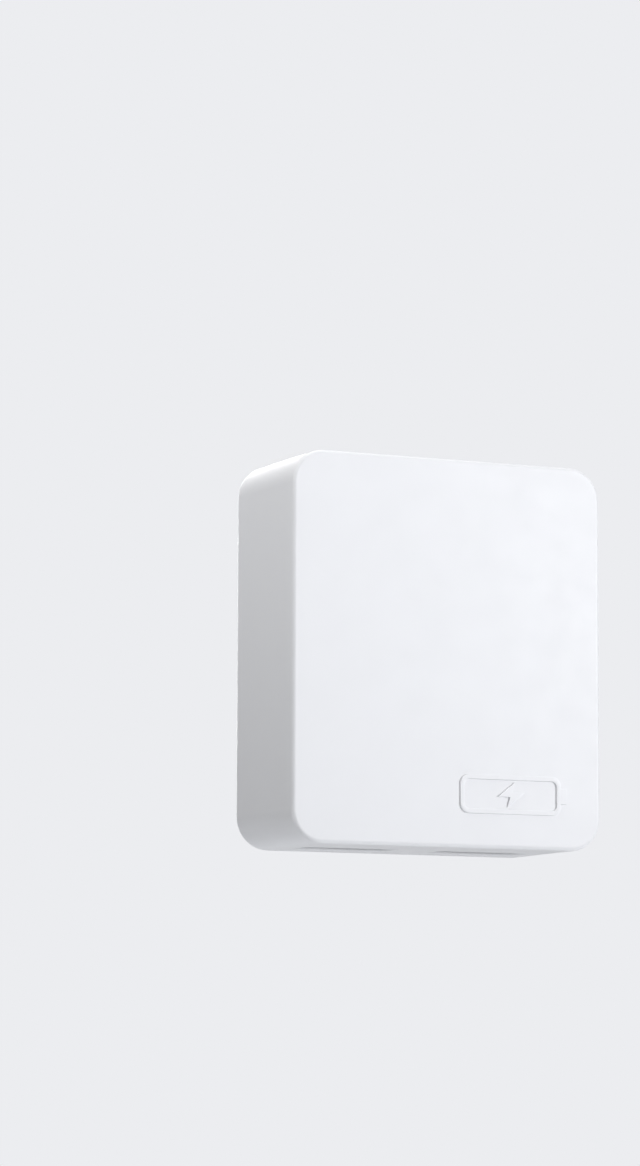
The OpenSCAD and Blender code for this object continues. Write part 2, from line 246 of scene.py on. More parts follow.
def strip(name, path, across, width, thickness):
    """A flat ribbon along a path of points; across is the unit vector of its width."""
    rings = []
    for p, ahead in headings(path):
        normal = across.cross(ahead).normalized()
        half, t = across * width / 2, normal * thickness / 2
        rings.append([p + half + t, p - half + t, p - half - t, p + half - t])
    return loft(name, rings)


def smooth_path(points, radius, steps=5):
    """The same path with its corners rounded."""
    points = [Vector(p) for p in points]
    out = [points[0]]
    for before, here, after in zip(points, points[1:], points[2:]):
        reach = min(radius, (here - before).length / 2.1, (after - here).length / 2.1)
        a = here + (before - here).normalized() * reach
        b = here + (after - here).normalized() * reach
        for i in range(steps + 1):
            t = i / steps
            out.append(a * (1 - t) ** 2 + here * 2 * t * (1 - t) + b * t * t)
    return out + [points[-1]]


def wire(name, path, r, segments=12):
    """A round wire along a path."""
    rings = []
    side = None
    turns = [2 * math.pi * k / segments for k in range(segments)]
    for p, ahead in headings(path):
        if side is None:
            side = ahead.orthogonal().normalized()
        side = (side - ahead * side.dot(ahead)).normalized()
        up = ahead.cross(side)
        rings.append([p + (side * math.cos(t) + up * math.sin(t)) * r for t in turns])
    return loft(name, rings)


def finish_piece(obj, name, slot, replaces=(), look=None, angle=30, body="charger"):
    """Turns obj to metres, shades it, and hangs it on its CAD body; look is the slot's own unless given."""
    obj.name = name
    obj.data.transform(Matrix.Scale(MM, 4))
    obj.data.shade_smooth()
    obj.data.set_sharp_from_angle(angle=math.radians(angle))
    obj.modifiers.new("weighted_normals", "WEIGHTED_NORMAL").keep_sharp = True
    obj.data.materials.clear()
    obj.data.materials.append(MATERIALS[look or slot])
    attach(obj, body)
    if replaces:
        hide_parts(*replaces)


def tinned(name, parts, replaces=(), angle=30):
    """Leads, pins, end caps or solder as one tinned piece."""
    finish_piece(merge("tinned", parts), name, "bright_steel", replaces, "tin", angle)


# ---------- materials ----------


def add_node(tree, kind, **values):
    """A new node; each value goes to the input of that name, with _ for a space, or to the node itself."""
    made = tree.nodes.new(kind)
    for key, value in values.items():
        socket = key.replace("_", " ")
        if socket in made.inputs:
            made.inputs[socket].default_value = value
        else:
            setattr(made, key, value)
    return made


class Shader:
    """A Principled material under construction."""

    def __init__(self, name, **sockets):
        self.material = bpy.data.materials.new(name)
        self.material.use_nodes = True
        self.tree = self.material.node_tree
        self.bsdf = self.tree.nodes["Principled BSDF"]
        self.place = self.node("ShaderNodeTexCoord").outputs["Object"]
        for socket, value in sockets.items():
            self.bsdf.inputs[socket.replace("_", " ")].default_value = value

    def node(self, kind, **values):
        return add_node(self.tree, kind, **values)

    def link(self, output, target):
        self.tree.links.new(output, target)

    def noise(self, size_mm, detail=3.0, stretch=(1, 1, 1)):
        """Noise whose grains are about size_mm across, 0 to 1."""
        mapping = self.node("ShaderNodeMapping", Scale=[s / (size_mm * MM) for s in stretch])
        noise = self.node("ShaderNodeTexNoise", Scale=1.0, Detail=detail)
        self.link(self.place, mapping.inputs["Vector"])
        self.link(mapping.outputs["Vector"], noise.inputs["Vector"])
        return noise.outputs["Fac"]

    def colour(self, value, first, second):
        """Base colour that runs from first to second with value."""
        ramp = self.node("ShaderNodeValToRGB")
        for stop, position, colour in zip(ramp.color_ramp.elements, (0.35, 0.65), (first, second)):
            stop.position = position
            stop.color = (*colour, 1)
        self.link(value, ramp.inputs["Fac"])
        self.link(ramp.outputs["Color"], self.bsdf.inputs["Base Color"])

    def roughness(self, value, low, high):
        ranged = self.node("ShaderNodeMapRange", From_Min=0.3, From_Max=0.7, To_Min=low, To_Max=high)
        self.link(value, ranged.inputs["Value"])
        self.link(ranged.outputs["Result"], self.bsdf.inputs["Roughness"])

    def bump(self, value, height_mm, strength):
        bump = self.node("ShaderNodeBump", Strength=strength, Distance=height_mm * MM)
        self.link(value, bump.inputs["Height"])
        self.link(bump.outputs["Normal"], self.bsdf.inputs["Normal"])


def tinted(colour, factor):
    return tuple(min(1.0, c * factor) for c in colour)


def surface(name, tones, rough, relief, **sockets):
    """Three noises and what each one drives: two colours, a roughness range, a bump."""
    shader = Shader(name, **sockets)
    shader.colour(shader.noise(*tones[0]), *tones[1:])
    shader.roughness(shader.noise(*rough[0]), *rough[1:])
    if relief:
        shader.bump(shader.noise(*relief[0]), *relief[1:])
    return shader.material


def moulded(name, colour, low, high, grain_mm=0.12, grain_depth=0.002):
    """Injection-moulded plastic: even colour, faint flow marks, a fine spark-eroded grain."""
    return surface(name, ((9, 2), tinted(colour, 0.996), tinted(colour, 1.003)),
                   ((3, 4), low, high), ((grain_mm, 2), grain_depth, 0.6))


def metal(name, colour, low, high, grain=(1, 1, 1)):
    """Plated or rolled metal with fine directional grain."""
    return surface(name, ((2.5, 3), tinted(colour, 0.96), tinted(colour, 1.02)),
                   ((0.3, 5, grain), low, high), ((0.12, 4, grain), 0.0004, 0.1), Metallic=1.0)


def tape(name, colour):
    """Polyester tape: glossy film, slightly uneven over what it covers."""
    return surface(name, ((2.5, 3), tinted(colour, 0.86), tinted(colour, 1.06)),
                   ((1.2, 3), 0.18, 0.32), ((1.0, 2, (1, 1, 0.25)), 0.03, 0.5),
                   Coat_Weight=0.4, Coat_Roughness=0.08)


def solder_mask(name):
    """Solder mask with the copper areas just visible under it."""
    shader = Shader(name, Coat_Weight=0.3, Coat_Roughness=0.12)
    flat = shader.node("ShaderNodeMapping", Scale=(1, 0, 0.6))
    areas = shader.node("ShaderNodeTexVoronoi", distance="CHEBYCHEV", Scale=330.0)
    shader.link(shader.place, flat.inputs["Vector"])
    shader.link(flat.outputs["Vector"], areas.inputs["Vector"])
    step = shader.node("ShaderNodeMapRange", From_Min=0.36, From_Max=0.39)
    shader.link(areas.outputs["Distance"], step.inputs["Value"])
    shader.colour(step.outputs["Result"], (0.026, 0.18, 0.078), (0.014, 0.12, 0.052))
    shader.roughness(shader.noise(1.0, 3), 0.25, 0.4)
    shader.bump(step.outputs["Result"], -0.03, 0.6)
    return shader.material


# Every look by name; a CAD slot without a look of its own borrows one
LOOKS = [
    (moulded, "housing_white", (0.90, 0.905, 0.925), 0.33, 0.42),
    (moulded, "cover_white", (0.86, 0.87, 0.89), 0.42, 0.52, 0.12, 0.004),
    (moulded, "carrier_white", (0.84, 0.85, 0.87), 0.36, 0.46),
    (moulded, "black_plastic", (0.022, 0.023, 0.026), 0.4, 0.55),
    (moulded, "chip_black", (0.03, 0.03, 0.032), 0.5, 0.65, 0.06, 0.004),
    (moulded, "opto_white", (0.8, 0.78, 0.72), 0.45, 0.6),
    (metal, "blade_metal", (0.74, 0.73, 0.70), 0.33, 0.37, (1, 0.12, 1)),
    (metal, "bright_steel", (0.70, 0.71, 0.73), 0.31, 0.36, (1, 1, 0.12)),
    (metal, "spring_bronze", (0.76, 0.48, 0.26), 0.25, 0.4, (1, 1, 0.15)),
    (metal, "gold_contacts", (0.85, 0.64, 0.28), 0.16, 0.28, (1, 1, 0.2)),
    (metal, "tin", (0.66, 0.67, 0.69), 0.22, 0.42),
    (metal, "copper", (0.72, 0.33, 0.17), 0.2, 0.36),
    (metal, "capacitor_can", (0.76, 0.77, 0.78), 0.28, 0.42, (1, 1, 0.1)),
    # Sintered ferrite: nearly black, with a fine speckle of pores
    (surface, "ferrite", ((0.15, 5), (0.028, 0.028, 0.03), (0.075, 0.075, 0.078)),
     ((0.6, 4), 0.45, 0.7), ((0.08, 4), 0.01, 0.8)),
    (tape, "tape_yellow", (0.82, 0.60, 0.09)),
    (tape, "film_amber", (0.72, 0.44, 0.10)),
    (moulded, "capacitor_sleeve", (0.022, 0.035, 0.075), 0.2, 0.3, 0.4, 0.004),
    (moulded, "disc_blue", (0.03, 0.17, 0.5), 0.16, 0.3, 0.8, 0.02),
    (moulded, "resistor_body", (0.15, 0.28, 0.2), 0.5, 0.65, 0.1, 0.006),
    (moulded, "chip_brown", (0.38, 0.26, 0.16), 0.35, 0.5, 0.1, 0.003),
    (solder_mask, "board_green"),
]
MATERIALS = {name: make(name, *values) for make, name, *values in LOOKS}


# ---------- housing ----------

# Posts that clamp the board, as (x, z)
POSTS = [(-17.6, 2.6), (17.6, 2.6), (-17.8, BOTTOM + 3.8), (17.8, BOTTOM + 3.8)]
POST_R = 1.2
SEAM = 0.05
# Slots that the blades fold into, and the wells behind them
WELL_W, WELL_TOP, WELL_END = 3.5, 3.6, -20.8
WELL_DEPTH, WELL_WALL = 7.875, 0.8
# Hinge cradles from and to x, and the bosses of the retainer screws
CRADLE = (8.2, 10.8)
CRADLE_HALF = 3.2
JOURNAL, PLAY = 2.0, 0.05
BOSS_X, BOSS_DEPTH = 13.5, 5.4
LEAF_SEAT_Z, LEAF_DEPTH = -5.6, 6.22


def outline(inset, y):
    """The housing's outline, shrunk by inset, at one depth."""
    return on_y(grown(2 * HALF_W, HEIGHT, CORNER, -inset, 12), y, z=MID_Z)


def port_cutter(side):
    """A port's opening with a softened lip, and the pocket behind it for the shell."""
    lip, corner = 0.35, 0.45
    pocket = SHELL_LOW.z - 0.05
    pocket_grow = 0.35

    def ring(grow, z):
        return on_z(grown(PORT_W, PORT_T, corner, grow, 5), z, side * PORT_X, PORT_Y)

    rings = [ring(lip, BOTTOM - 1)]
    rings += [ring(grow, BOTTOM + rise) for grow, rise in quarter(lip, 5)]
    rings += [ring(0, pocket), ring(pocket_grow, pocket), ring(pocket_grow, BOTTOM + WALL + 0.6)]
    return loft("port_cutter", rings)


def battery_mark():
    """A battery outline with a bolt in it, standing proud of the front face with softened edges."""
    x, z = 8.6, BOTTOM + 6.8
    top, foot, soft = FRONT - MARK_HEIGHT, FRONT + 0.3, 0.07
    # Width, height and corner radius of the outline's two edges
    outer, inner = (14.2, 4.9, 1.2), (13.0, 3.7, 0.7)

    def ring(size, inset, y):
        return on_y(grown(*size, -inset, 8), y, x, z)

    rings = [ring(outer, 0, foot)]
    rings += [ring(outer, inset, top + rise) for inset, rise in reversed(quarter(soft, 4))]
    rings += [ring(inner, -inset, top + rise) for inset, rise in quarter(soft, 4)]
    rings += [ring(inner, 0, foot)]
    border = loft("mark_outline", rings, closed=True)
    nub = brick("mark_nub", (x + 7.0, top, z - 1.0), (x + 7.95, foot, z + 1.0), soft)
    points = [(0.5, 1.55), (-1.9, -0.3), (-0.15, -0.3), (-0.5, -1.55), (1.9, 0.3), (0.15, 0.3)]
    bolt = loft("mark_bolt", [on_y(points, foot, x, z), on_y(points, top, x, z)])
    soften(bolt, soft, 3, lambda edge: all(v.co.y < top + 0.01 for v in edge.verts))
    return [border, nub, bolt]


def posts(y0, y1):
    return [rod("post", "y", (x, 0, z), y0, y1, POST_R, 24, 0.15) for x, z in POSTS]


def front_case():
    """One shell: front face, four walls, the rim round the rear cover, the port openings and the mark."""
    inner_front = FRONT + WALL
    rings = [outline(WALL + inset, inner_front + rise) for inset, rise in quarter(0.6, 4)]
    rings += [outline(WALL, -COVER), outline(RIM, -COVER)]
    rings += [outline(RIM, -0.12), outline(RIM - 0.12, 0)]
    rings += [outline(inset, -rise) for inset, rise in quarter(REAR_EDGE, 5)]
    rings += [outline(inset, FRONT + rise) for inset, rise in reversed(quarter(FRONT_EDGE, 8))]
    case = loft("front_case", rings)
    cut_or_join(case, [port_cutter(side) for side in BOTH])
    cut_or_join(case, posts(inner_front - 0.2, BOARD_FRONT) + battery_mark(), "UNION")
    finish_piece(case, "front_case_shell", "housing_white", ["front_case"])


def well_cutter(side):
    """The slot that a blade folds into, with a softened lip at the rear face."""
    lip, corner = 0.3, 0.45
    mid, height = (WELL_TOP + WELL_END) / 2, WELL_TOP - WELL_END

    def ring(grow, y):
        return on_y(grown(WELL_W, height, corner, grow, 5), y, side * BLADE_X, mid)

    rings = [ring(lip, 1)] + [ring(grow, -rise) for grow, rise in quarter(lip, 5)]
    return loft("well_cutter", rings + [ring(0, -WELL_DEPTH)])


def scoop_cutter():
    """A shallow finger dish across both slots, its ends rounded off."""
    radius, depth, half, run, steps = 9.0, 1.1, 11.0, 3.0, 20
    profile = []
    for i in range(steps + 1):
        t = (i / steps) ** 2
        profile.append((half - run * t, radius - depth + depth * math.sin(math.pi / 2 * t)))
    profile = [(-a, r) for a, r in profile] + [(a, r) for a, r in reversed(profile)]
    return lathe("scoop_cutter", profile, "x", (0, radius - depth, WELL_END + 3.6), 160)


def rear_cover():
    """The flat back: slots, wells, hinge cradles, screw bosses, detent seat and board posts."""
    edge = RIM + SEAM
    rings = [outline(edge + inset, -rise) for inset, rise in quarter(0.16, 5)]
    rings += [outline(edge, -COVER + 0.02), outline(edge + 0.02, -COVER)]
    cover = loft("rear_cover", rings)
    back = -COVER + 0.1
    added = []
    for side in BOTH:
        x = side * BLADE_X
        half = WELL_W / 2 + WELL_WALL
        added.append(brick("well", (x - half, -WELL_DEPTH - WELL_WALL, WELL_END - WELL_WALL),
                           (x + half, back, -4.6), 0.3, 3))
        x0, x1 = sorted(side * c for c in CRADLE)
        added.append(brick("cradle", (x0, HINGE_Y, -CRADLE_HALF), (x1, back, CRADLE_HALF), 0.12))
        added.append(rod("boss", "y", (side * BOSS_X, 0, 0), -BOSS_DEPTH, back, 2.1, 40, 0.15))
    seat_half = BLADE_X - WELL_W / 2 + 0.1
    added.append(brick("leaf_seat", (-seat_half, -LEAF_DEPTH, LEAF_SEAT_Z - 1),
                       (seat_half, back, LEAF_SEAT_Z + 1), 0.1))
    cut_or_join(cover, added + posts(BOARD_BACK, back), "UNION")
    cutters = [well_cutter(side) for side in BOTH]
    cutters += [rod("bore", "y", (side * BOSS_X, 0, 0), -BOSS_DEPTH - 1, -2.6, 0.82, 24) for side in BOTH]
    reach = CRADLE[1] + 1
    cutters.append(rod("journal_bore", "x", (0, HINGE_Y, 0), -reach, reach, JOURNAL + PLAY, 64))
    cutters.append(scoop_cutter())
    cut_or_join(cover, cutters)
    finish_piece(cover, "rear_cover_panel", "housing_white", ["rear_cover"], "cover_white", angle=24)


# ---------- folding plug ----------

BLADE_W, BLADE_T, BLADE_OUT = 6.35, 1.5, 16.0
HOLE_D, HOLE_Y = 3.2, 11.9
HUB_R, HUB_W = 3.9, 3.2
TAIL_R, TAIL_W = 4.6, 2.4
BLADE_ROOT = 2.0
EAR_T = 1.4


def blade_form(x):
    """One flat blade along Y with coined edges, a tapered tip, a cross hole and a narrow tail."""
    def ring(y, width, thickness):
        return on_y(round_rect(thickness, width, min(0.22, thickness / 2.2), 4), y, x)

    slim = BLADE_T - 0.7
    blade = loft("blade", [
        ring(HINGE_Y - BLADE_ROOT, BLADE_W, BLADE_T),
        ring(BLADE_OUT - 1.7, BLADE_W, BLADE_T),
        ring(BLADE_OUT - 1.45, BLADE_W - 0.25, BLADE_T - 0.03),
        ring(BLADE_OUT - 0.25, BLADE_W - 2.95, slim + 0.08),
        ring(BLADE_OUT, BLADE_W - 3.5, slim - 0.3),
    ])
    tail = []
    for i in range(9):
        z = TAIL_W * (i / 8 - 0.5)
        tail.append((HINGE_Y - math.sqrt(TAIL_R ** 2 - z ** 2), z))
    tail = [(HINGE_Y, -TAIL_W / 2)] + tail + [(HINGE_Y, TAIL_W / 2)]
    tab = prism("tail", tail, x - BLADE_T / 2, x + BLADE_T / 2)
    cut_or_join(blade, [tab], "UNION")
    half, flare = BLADE_T / 2, 0.18
    radius = HOLE_D / 2
    profile = [(-half - 0.5, radius + flare + 0.5), (-half, radius + flare), (-half + flare, radius)]
    profile += [(-a, r) for a, r in reversed(profile)]
    return cut_or_join(blade, [lathe("hole", profile, "x", (x, HOLE_Y, 0), 48)])


def blades():
    for name, side in SIDES.items():
        finish_piece(blade_form(side * BLADE_X), f"blade_{name}_coined", "blade_metal", [f"blade_{name}"],
                     body="plug")


def blade_carrier():
    """The barrel that joins the blades: two hubs, a shaft with two flats, and end journals."""
    reach = CRADLE[1] - 0.1
    body = rod("carrier", "x", (0, HINGE_Y, 0), -reach, reach, JOURNAL, 64, 0.2)
    hubs = [rod("hub", "x", (0, HINGE_Y, 0), x - HUB_W / 2, x + HUB_W / 2, HUB_R, 96, 0.28)
            for x in (-BLADE_X, BLADE_X)]
    cut_or_join(body, hubs, "UNION")
    flat, half = 1.75, 3.8
    cutters = [brick("flat", (-half, HINGE_Y - 3, -3), (half, HINGE_Y - flat, 3)),
               brick("flat", (-half, HINGE_Y - 3, flat), (half, HINGE_Y + 3, 3))]
    cutters += [blade_form(side * BLADE_X) for side in BOTH]
    cut_or_join(body, cutters)
    finish_piece(body, "blade_carrier_barrel", "carrier_white", ["blade_carrier"], body="plug")


def carrier_retainers():
    """Saddles that close the cradles over the journals, each with a screwed ear."""
    top, crown = 3.2 - HINGE_Y, 1.9
    ear, ear_end = 4.8, BOSS_DEPTH + EAR_T
    for name, side in SIDES.items():
        x0, x1 = CRADLE
        arch = [(HINGE_Y, -CRADLE_HALF)]
        arch += [(inset - top, rise - CRADLE_HALF) for inset, rise in quarter(crown, 8)]
        arch += [(y, -z) for y, z in reversed(arch)]
        saddle = prism("saddle", arch, side * x0, side * x1, 0.15)
        plate = round_rect(ear, ear, 1.5, 6)
        lug = loft("lug", [on_y(plate, y, side * (x1 + 2.3)) for y in (-BOSS_DEPTH, -ear_end)])
        soften(lug, 0.15)
        cut_or_join(saddle, [lug], "UNION")
        reach = sorted((side * (x0 - 2), side * (x0 + 5)))
        bore = rod("bore", "x", (0, HINGE_Y, 0), *reach, JOURNAL + PLAY, 64)
        hole = rod("hole", "y", (side * BOSS_X, 0, 0), -ear_end - 1, -BOSS_DEPTH + 1, 0.9, 32)
        cut_or_join(saddle, [bore, hole])
        finish_piece(saddle, f"carrier_retainer_{name}_cap", "black_plastic", [f"carrier_retainer_{name}"])


def retainer_screws():
    """Pan-head self-tapping screws with a real thread and a cross recess."""
    head, tip = BOSS_DEPTH + EAR_T, 3.0
    pitch, core, crest, ridge_half = 0.6, 0.6, 0.8, 0.28
    rings_a_turn, segments = 10, 20
    length = head + 0.1 - tip
    count = int(length / pitch * rings_a_turn)
    screws = []
    for side in BOTH:
        centre = Vector((side * BOSS_X, 0, 0))
        rings = []
        for k in range(count + 1):
            along = tip + length * k / count
            point = min(1.0, 0.35 + (along - tip) / 0.9)
            ring = []
            for i in range(segments):
                phase = (along / pitch - i / segments) % 1.0
                ridge = max(0.0, 1 - abs(phase - 0.5) / ridge_half)
                r = (core + (crest - core) * ridge) * point
                turn = 2 * math.pi * i / segments
                ring.append(centre + Vector((r * math.cos(turn), -along, r * math.sin(turn))))
            rings.append(ring)
        pan = [(1.0, 0.6), (0.98, 0.9), (0.85, 1.25), (0.6, 1.44), (0.3, 1.5), (0.05, 1.5), (0, 1.45)]
        cap = lathe("pan_head", [(-head - rise, r) for rise, r in pan], "y", centre, 40)
        cross = []
        for w, h in ((2.0, 0.5), (0.5, 2.0)):
            cross.append(brick("cross", centre + Vector((-w / 2, -head - 2, -h / 2)),
                               centre + Vector((w / 2, -head - 0.45, h / 2))))
        screws += [loft("shank", rings), cut_or_join(cap, cross)]
    finish_piece(merge("screws", screws), "retainer_screw_pair", "bright_steel", ["retainer_screws"])


def springs():
    """The detent leaf on the barrel, and the two leaves that touch the blades' tails."""
    low, high = cad_box("detent_spring")
    _, y, _ = middle(low, high)
    path = [(0, y, low.z), (0, y, high.z - 1.6), (0, y - 0.25, high.z - 0.7), (0, y - 0.5, high.z)]
    leaf = strip("leaf", smooth_path(path, 0.6), X, high.x - low.x, high.y - low.y)
    soften(leaf, 0.05)
    finish_piece(leaf, "detent_leaf", "bright_steel", ["detent_spring"])
    thick = 0.3
    for name in SIDES:
        node = f"contact_spring_{name}"
        low, high = cad_box(node)
        pad_y, foot_y = high.y - thick / 2, low.y + thick / 2
        x = (low.x + high.x) / 2
        path = [(x, pad_y - 0.35, low.z), (x, pad_y, low.z + 0.7), (x, pad_y, 2.75)]
        path += [(x, foot_y, 4.65), (x, foot_y, high.z)]
        leaf = strip("leaf", smooth_path(path, 0.5), X, high.x - low.x, thick)
        soften(leaf, 0.06)
        finish_piece(leaf, f"{node}_leaf", "spring_bronze", [node])


# ---------- USB ports ----------

SHEET = 0.3


def spring_finger(x, face, z0, z1):
    """A window in one wall of the shell, and the tongue of sheet that dips through it."""
    y = PORT_Y + face * (PORT_T + SHEET) / 2
    dip = face * 0.34
    window = brick("window", (x - 1.3, y - 0.5, z0), (x + 1.3, y + 0.5, z1))
    path = [(x, y, z1 + 0.05), (x, y, z1 - 1.0), (x, y - dip, z0 + 1.3), (x, y - face * 0.1, z0 + 0.35)]
    return window, strip("finger", smooth_path(path, 0.8), X, 1.9, SHEET * 0.8)


def usb_shells():
    """Folded steel shells with a rolled mouth, pressed spring fingers and two pairs of legs."""
    mid_z = (SHELL_LOW.z + SHELL_HIGH.z) / 2
    leg_half, leg_inset = 0.6, 2.6
    for name, side in SIDES.items():
        x = side * PORT_X

        def ring(grow, z):
            return on_z(grown(PORT_W, PORT_T, 0.5, grow, 6), z, x, PORT_Y)

        shell = loft("shell", [
            ring(SHEET, SHELL_HIGH.z),
            ring(SHEET, SHELL_LOW.z + 0.12),
            ring(SHEET - 0.12, SHELL_LOW.z),
            ring(0.1, SHELL_LOW.z),
            ring(0, SHELL_LOW.z + 0.2),
            ring(0, SHELL_HIGH.z),
        ], closed=True)
        windows, fingers = zip(*[spring_finger(x + dx, face, mid_z - 2.6, mid_z + 2.4)
                                 for dx in (-3.1, 3.1) for face in BOTH])
        cut_or_join(shell, windows)
        legs = []
        for edge in BOTH:
            for z in (SHELL_LOW.z + leg_inset, SHELL_HIGH.z - leg_inset):
                leg_x = x + edge * (PORT_W + SHEET) / 2
                legs.append(brick("leg", (leg_x - SHEET / 2, BOARD_FRONT - 0.8, z - leg_half),
                                  (leg_x + SHEET / 2, BOARD_BACK + 1.2, z + leg_half), 0.1))
        shell = merge("shell", [shell, *fingers, *legs])
        finish_piece(shell, f"usb_shell_{name}_folded", "bright_steel", [f"usb_shell_{name}"])


def usb_inserts():
    """The tongue and base of each port, and its four contacts."""
    top, tip = SHELL_HIGH.z, SHELL_LOW.z + 1.6
    tongue = PORT_Y - 0.02
    thick, width, base = 1.84, 11.1, 1.4
    for name, side in SIDES.items():
        x = side * PORT_X
        body = brick("tongue", (x - width / 2, tongue - thick, tip), (x + width / 2, tongue, top - 0.2))
        soften(body, 0.32, 3, lambda edge: all(v.co.z < tip + 0.01 for v in edge.verts))
        soften(body, 0.12)
        back = brick("base", (x - PORT_W / 2, PORT_Y - PORT_T / 2, top - base),
                     (x + PORT_W / 2, PORT_Y + PORT_T / 2, top), 0.12)
        cut_or_join(body, [back], "UNION")
        grooves, strips = [], []
        y, bend = tongue - 0.1, top + 0.15
        for cx in (x - 3.5, x - 1.0, x + 1.0, x + 3.5):
            grooves.append(brick("groove", (cx - 0.5, y - 0.1, tip + 0.3), (cx + 0.5, y + 0.3, top + 1)))
            path = [(cx, y, tip + 0.35), (cx, y, bend), (cx, BOARD_FRONT - 0.05, bend)]
            strips.append(strip("contact", smooth_path(path, 0.25), X, 0.96, 0.19))
        cut_or_join(body, grooves)
        finish_piece(body, f"usb_insulator_{name}_moulding", "black_plastic", [f"usb_insulator_{name}"])
        pins = soften(merge("contacts", strips), 0.04)
        finish_piece(pins, f"usb_contacts_{name}_formed", "gold_contacts", [f"usb_contacts_{name}"])


# ---------- circuit board and its parts ----------

LEAD_R = 0.3


def joint_dot(x, z, r=0.75):
    """A solder fillet where a lead comes through to the front of the board."""
    steps = [(-0.02, 1), (0.06, 1), (0.2, 0.72), (0.5, 0.5), (0.8, 0.42), (0.86, 0.3)]
    return lathe("joint", [(BOARD_FRONT - rise, r * share) for rise, share in steps], "y", (x, 0, z), 20)


def pad(x, z, w, h):
    """A tinned pad on the front of the board, with a low meniscus of solder."""
    rings = []
    for inset, rise in ((0, 0), (0, 0.07), (0.06, 0.12), (0.14, 0.14)):
        patch = round_rect(w - 2 * inset, h - 2 * inset, 0.12, 3)
        rings.append(on_y(patch, BOARD_FRONT + 0.02 - rise, x, z))
    return loft("pad", rings)


def lead(path, bend):
    return wire("lead", smooth_path(path, bend), LEAD_R, 16)


def capacitor(name, axis, centre, vent, leads_at, r, lead_paths):
    """An electrolytic can: sleeve with a rolled groove, bare can end with a vent, rubber bung, leads."""
    way = 1 if leads_at > vent else -1
    length = abs(leads_at - vent)

    def turned(part, profile, segments, closed=False):
        """Profile as distance from the vent end and depth under the sleeve's surface."""
        placed = [(vent + way * a, r - depth) for a, depth in profile]
        return lathe(part, placed, axis, centre, segments, closed)

    sleeve = turned(f"{name}_sleeve", [
        (0, 0.9), (0.06, 0.86), (0.1, 0.35), (0.35, 0.06), (0.7, 0),
        (length - 2.6, 0), (length - 2.2, 0.12), (length - 1.9, 0.42), (length - 1.6, 0.42),
        (length - 1.3, 0.1), (length - 0.9, 0), (length - 0.35, 0.05), (length - 0.08, 0.4),
        (length, 0.9), (length - 0.1, 0.95), (0.16, 0.95),
    ], 64, closed=True)
    finish_piece(sleeve, f"{name}_sleeve", "capacitor_sleeve", [name])
    can = turned("can", [
        (0.08, 1.1), (0.05, 0.92), (0.3, 0.93), (length - 0.6, 0.96), (length - 0.3, 1.3),
    ], 64)
    along, side, up = axes_of(axis)
    start = Vector(centre) + along * (vent + way * 0.02)
    cuts = []
    for turn in (0, 60, 120):
        a = side * math.cos(math.radians(turn)) + up * math.sin(math.radians(turn))
        cuts.append(wire("vent", [start - a * r * 0.62, start + a * r * 0.62], 0.16, 8))
    cut_or_join(can, cuts)
    finish_piece(can, f"{name}_can", "capacitor_can")
    bung = turned("bung", [(length - 0.7, 1.0), (length - 0.22, 1.0), (length - 0.12, 1.2)], 48)
    finish_piece(bung, f"{name}_bung", "black_plastic")
    tinned(f"{name}_leads", [lead(path, 0.7) for path in lead_paths])


def bulk_capacitors():
    """The large one stands along Z, the small one lies along X; both bend their leads to the board."""
    name, end, half_pitch = "bulk_capacitor_large", -5.6, 1.75
    low, high = cad_box(name)
    x, r = (low.x + high.x) / 2, (high.x - low.x) / 2
    y, down = high.y - r, high.z - LEAD_R
    paths = [[(x + dx, y, end - 0.4), (x + dx, y, down), (x + dx, BOARD_BACK, down)]
             for dx in (-half_pitch, half_pitch)]
    capacitor(name, "z", (x, y, 0), low.z, end, r, paths)
    name, end, half_pitch = "bulk_capacitor_small", -8.9, 1.25
    low, high = cad_box(name)
    z, r = (low.z + high.z) / 2, (high.z - low.z) / 2
    y, down = high.y - r, high.x - LEAD_R
    paths = [[(end - 0.4, y, z + dz), (down, y, z + dz), (down, BOARD_BACK, z + dz)]
             for dz in (-half_pitch, half_pitch)]
    capacitor(name, "x", (0, y, z), low.x, end, r, paths)


def output_capacitors():
    """Polymer cans on chamfered black bases, a black segment printed on top."""
    for name in ("output_capacitor_upper", "output_capacitor_lower"):
        low, high = cad_box(name)
        x, _, z = middle(low, high)
        half, cut = (high.x - low.x) / 2, 1.1
        plan = [(-half, -half), (half - cut, -half), (half, -half + cut), (half, half - cut),
                (half - cut, half), (-half, half)]
        y0, top = BOARD_BACK, high.y
        base = soften(loft("base", [on_y(plan, y, x, z) for y in (y0, y0 + 1.1)]), 0.1)
        finish_piece(base, f"{name}_base", "black_plastic")
        r = 3.15
        can = [(y0 + 0.9, r - 0.5), (y0 + 1.0, r - 0.15), (y0 + 1.25, r), (y0 + 1.7, r),
               (y0 + 1.95, r - 0.22), (y0 + 2.15, r - 0.22), (y0 + 2.4, r), (top - 0.45, r),
               (top - 0.14, r - 0.13), (top, r - 0.5)]
        body = lathe("can", can, "y", (x, 0, z), 64)
        finish_piece(body, f"{name}_can", "capacitor_can", [name])
        mark_r, steps = r - 0.55, 12
        turns = [math.radians(-58 + 116 * i / steps) for i in range(steps + 1)]
        mark = [(mark_r * math.cos(t), mark_r * math.sin(t)) for t in turns]
        segment = loft("mark", [on_y(mark, y, x, z) for y in (top - 0.05, top + 0.012)])
        finish_piece(segment, f"{name}_mark", "black_plastic")


def gull_wing(x, z, side, along_x, half, width, height):
    """One flat lead that leaves the package half way up, bends down and lies on its pad."""
    reach = Vector((0, 0, side)) if along_x else Vector((side, 0, 0))
    across = X if along_x else Z
    root = Vector((x, BOARD_FRONT - height / 2, z)) + reach * (half - 0.3)
    foot = Vector((x, BOARD_FRONT - 0.09, z))
    path = [root, root + reach * 0.62, foot + reach * (half + 0.42), foot + reach * (half + 0.79)]
    return strip("lead", smooth_path(path, 0.18, 3), across, width, 0.16)


